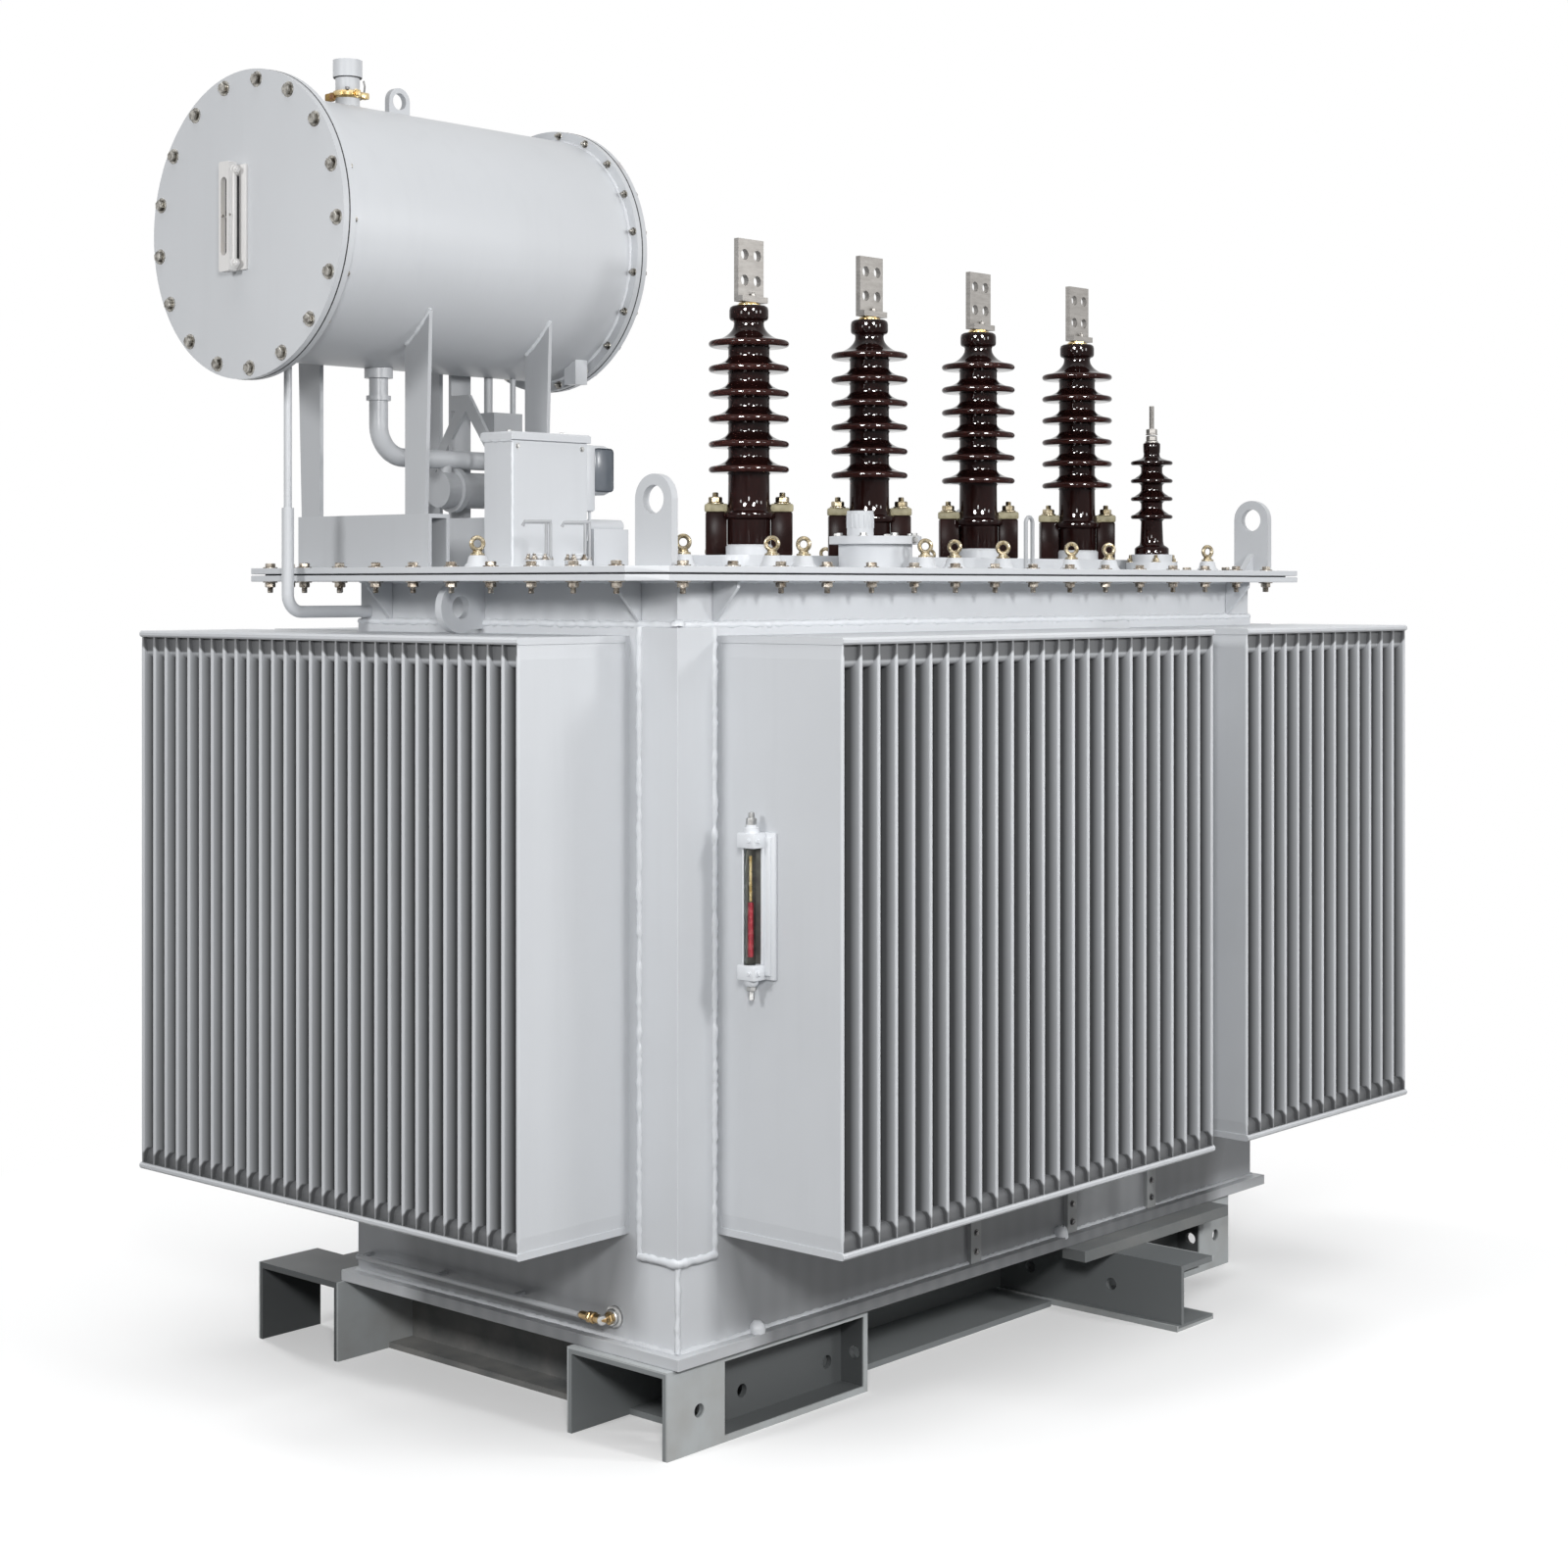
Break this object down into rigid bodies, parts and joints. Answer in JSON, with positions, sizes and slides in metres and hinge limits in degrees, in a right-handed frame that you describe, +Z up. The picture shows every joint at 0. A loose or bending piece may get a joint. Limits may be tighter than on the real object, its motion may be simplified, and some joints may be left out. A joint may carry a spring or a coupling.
{
  "type": "power transformer",
  "caption": "Oil-filled power transformer: finned tank walls on a skid frame, bolted lid with shedded porcelain bushings and flag terminals, and a conservator drum on posts above.",
  "frame": {"origin": "on the floor, under the middle of the overall box", "axes": "+X along the long front wall to the right, +Y from the front wall to the back, +Z up"},
  "size_m": [2.523, 1.559, 2.613],
  "materials": {
    "tank_paint": "semi-gloss paint",
    "porcelain": "dark brown glaze",
    "yellow_zinc": "yellow passivated",
    "tin": "tinned",
    "gauge_glass": "clear",
    "frame_paint": "semi-gloss paint",
    "instrument": "dark window",
    "seal": "matt"
  },
  "bodies": {
    "root": {"breather_chamber": "tank_paint", "bushing_bases": "tank_paint", "bushing_clamp_feet": "porcelain", "bushing_clamps": "yellow_zinc", "bushing_deck": "tank_paint", "bushing_flags": "tin", "bushing_nuts": "yellow_zinc", "bushing_porcelains": "porcelain", "cable_gland": "tank_paint", "capped_fittings": "tank_paint", "conservator_front_cover": "tank_paint", "conservator_gauge": "tank_paint", "conservator_gauge_glass": "gauge_glass", "conservator_lugs": "tank_paint", "conservator_pipe": "tank_paint", "conservator_posts": "tank_paint", "conservator_rear_cover": "tank_paint", "conservator_saddles": "tank_paint", "conservator_shell": "tank_paint", "conservator_stay": "tank_paint", "corner_columns": "tank_paint", "cross_channels": "frame_paint", "dial_instrument": "instrument", "drain_line": "tank_paint", "drain_pipe": "tank_paint", "drain_valve": "yellow_zinc", "earthing_pads": "tank_paint", "end_fin_bank": "tank_paint", "filler_cap": "tank_paint", "filler_neck": "tank_paint", "front_beam": "frame_paint", "front_fin_bank": "tank_paint", "front_fin_bank_right": "tank_paint", "front_packing_bar": "frame_paint", "front_skid": "frame_paint", "front_stub_channels": "frame_paint", "gas_relay": "tank_paint", "left_fin_bank": "tank_paint", "lid": "tank_paint", "lid_gasket": "seal", "lid_lifting_lugs": "tank_paint", "liquid_gauge": "tank_paint", "liquid_gauge_glass": "gauge_glass", "neck_lugs": "tank_paint", "rear_fin_bank": "tank_paint", "rear_skid": "frame_paint", "rim_gussets": "tank_paint", "small_bushing_stud": "tin", "tank_base_plate": "tank_paint", "tank_body": "tank_paint", "tank_rim": "tank_paint", "terminal_box": "tank_paint", "terminal_box_lid": "tank_paint", "thermometer_pocket": "tank_paint"}
  },
  "joints": []
}
